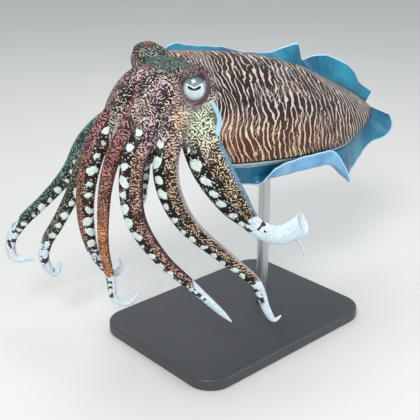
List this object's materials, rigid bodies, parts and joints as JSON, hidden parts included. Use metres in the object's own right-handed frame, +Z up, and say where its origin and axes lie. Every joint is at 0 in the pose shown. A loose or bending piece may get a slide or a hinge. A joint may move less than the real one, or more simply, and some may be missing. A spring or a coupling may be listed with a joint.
{
  "type": "pharaoh cuttlefish model on a display stand",
  "caption": "Life-size cuttlefish in a striped display, arms hanging in a fan and body banked, held up by a rod on a flat base.",
  "frame": {"origin": "middle of the footprint, on the underside of the stand's base", "axes": "+X runs back along the body to the tail, -Y is the animal's left side, +Z is up"},
  "size_m": [0.4144, 0.2526, 0.2983],
  "materials": {
    "skin": "moist skin, semi-matt: brown-black mantle with fine cream cross lines, mottled head, and brown and cream labyrinth on the arms with large pale blotches along one edge",
    "eye": "glossy silver-grey eyeball with a black W-shaped pupil",
    "fin": "thin teal-blue frill with a pale edge line",
    "stand_rod": "brushed steel",
    "stand_base": "satin black paint"
  },
  "bodies": {
    "root": {"mantle": "skin", "head": "skin", "funnel": "skin", "eye_left": "eye", "eye_right": "eye", "fin_left": "fin", "fin_right": "fin", "arm_left_1_base": "skin", "arm_left_1_mid": "skin", "arm_left_1_tip": "skin", "arm_left_2_base": "skin", "arm_left_2_mid": "skin", "arm_left_2_tip": "skin", "arm_left_3_base": "skin", "arm_left_3_mid": "skin", "arm_left_3_tip": "skin", "arm_left_4_base": "skin", "arm_left_4_mid": "skin", "arm_left_4_tip": "skin", "arm_right_1_base": "skin", "arm_right_1_mid": "skin", "arm_right_1_tip": "skin", "arm_right_2_base": "skin", "arm_right_2_mid": "skin", "arm_right_2_tip": "skin", "arm_right_3_base": "skin", "arm_right_3_mid": "skin", "arm_right_3_tip": "skin", "arm_right_4_base": "skin", "arm_right_4_mid": "skin", "arm_right_4_tip": "skin", "stand_rod": "stand_rod", "stand_base": "stand_base"}
  },
  "joints": []
}
